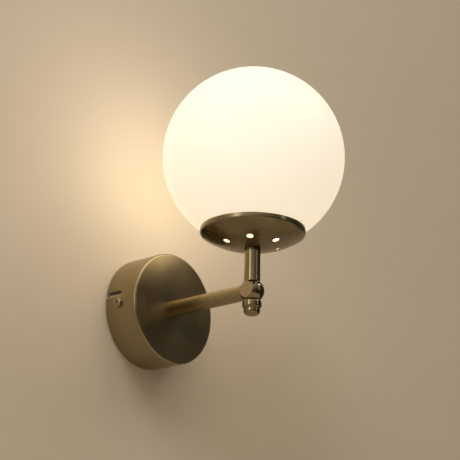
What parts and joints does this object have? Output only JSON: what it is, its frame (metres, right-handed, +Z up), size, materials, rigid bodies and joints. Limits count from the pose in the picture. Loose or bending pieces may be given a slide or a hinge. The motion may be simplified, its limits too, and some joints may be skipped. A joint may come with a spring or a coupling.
{
  "type": "wall lamp",
  "caption": "Wall lamp with an opal glass globe on a spun bowl and stem, a straight arm with a ball coupling, and a round cup canopy.",
  "frame": {"origin": "on the wall, on the arm's axis, at the centre of the wall bracket's rear face", "axes": "+X to the right along the wall as seen from the room, +Y into the wall, +Z up"},
  "size_m": [0.15, 0.1935, 0.2367],
  "materials": {
    "zinc_steel": "zinc plated, satin",
    "screw_steel": "nickel plated",
    "satin_metal": "warm bronze nickel, finely brushed",
    "glossy_metal": "warm bronze nickel, polished",
    "tube_steel": "nickel plated thread",
    "brass": "raw, pressed",
    "gallery_aluminium": "turned",
    "block_plastic": "moulded",
    "holder_plastic": "moulded",
    "ceramic": "glazed ceramic",
    "cable_sheath": "soft sheath",
    "live_core": "brown insulation",
    "neutral_core": "blue insulation",
    "earth_core": "green and yellow insulation",
    "gasket_rubber": "soft, pale",
    "opal_glass": "opal glass, polished, lets little through",
    "bulb_cap_metal": "pressed and tinned",
    "black_insulator": "black glass",
    "bulb_plastic": "moulded",
    "bulb_diffuser": "milky",
    "white_board": "white solder mask",
    "light_chip": "phosphor",
    "green_board": "solder mask"
  },
  "bodies": {
    "base": {"wall_bracket": "zinc_steel", "side_screws": "screw_steel"},
    "lamp": {"canopy": "satin_metal", "block_plate": "zinc_steel", "terminal_block": "block_plastic", "terminal_inserts": "brass", "terminal_screws": "screw_steel", "block_screw": "screw_steel", "earth_screw": "screw_steel", "canopy_earth_tag": "brass", "rear_threaded_tube": "tube_steel", "canopy_washer": "tube_steel", "canopy_nut": "brass", "arm_tube": "satin_metal", "front_threaded_tube": "tube_steel", "arm_cable": "cable_sheath", "live_lead": "live_core", "neutral_lead": "neutral_core", "earth_lead": "earth_core"},
    "head": {"ball_coupling": "glossy_metal", "stem_threaded_tube": "tube_steel", "stem_sleeve": "glossy_metal", "fitter_bowl": "satin_metal", "globe_gallery": "gallery_aluminium", "stem_nut": "brass", "bowl_earth_tag": "brass", "holder_cap": "holder_plastic", "holder_insulator": "ceramic", "holder_terminals": "brass", "contact_shell": "brass", "spring_contact": "brass", "holder_skirt": "holder_plastic", "stem_cable": "cable_sheath", "holder_live_lead": "live_core", "holder_neutral_lead": "neutral_core", "holder_earth_lead": "earth_core", "globe_gasket": "gasket_rubber"},
    "globe": {"glass_globe": "opal_glass", "globe_neck": "opal_glass"},
    "bulb": {"bulb_cap": "bulb_cap_metal", "bulb_tip_insulator": "black_insulator", "bulb_tip": "bulb_cap_metal", "bulb_body": "bulb_plastic", "bulb_dome": "bulb_diffuser", "led_board": "white_board", "led_chips": "light_chip", "driver_board": "green_board"},
    "finial": {"finial_ring": "glossy_metal", "finial_cap": "glossy_metal"}
  },
  "joints": [
    {"name": "canopy_twist", "type": "hinge", "parent": "base", "child": "lamp", "pos_m": [0, 0, 0], "axis": [0, -1, 0], "range_deg": [0, 10]},
    {"name": "head_swivel", "type": "hinge", "parent": "lamp", "child": "head", "pos_m": [0, -0.1185, 0], "axis": [0, 1, 0], "range_deg": [-180, 180]},
    {"name": "globe_lift", "type": "slide", "parent": "head", "child": "globe", "axis": [0, 0, 1], "range_m": [0, 0.11]},
    {"name": "bulb_out", "type": "slide", "parent": "head", "child": "bulb", "axis": [0, 0, 1], "range_m": [0, 0.022]},
    {"name": "finial_turn", "type": "hinge", "parent": "head", "child": "finial", "pos_m": [0, -0.1185, -0.0124], "axis": [0, 0, 1], "continuous": true}
  ]
}
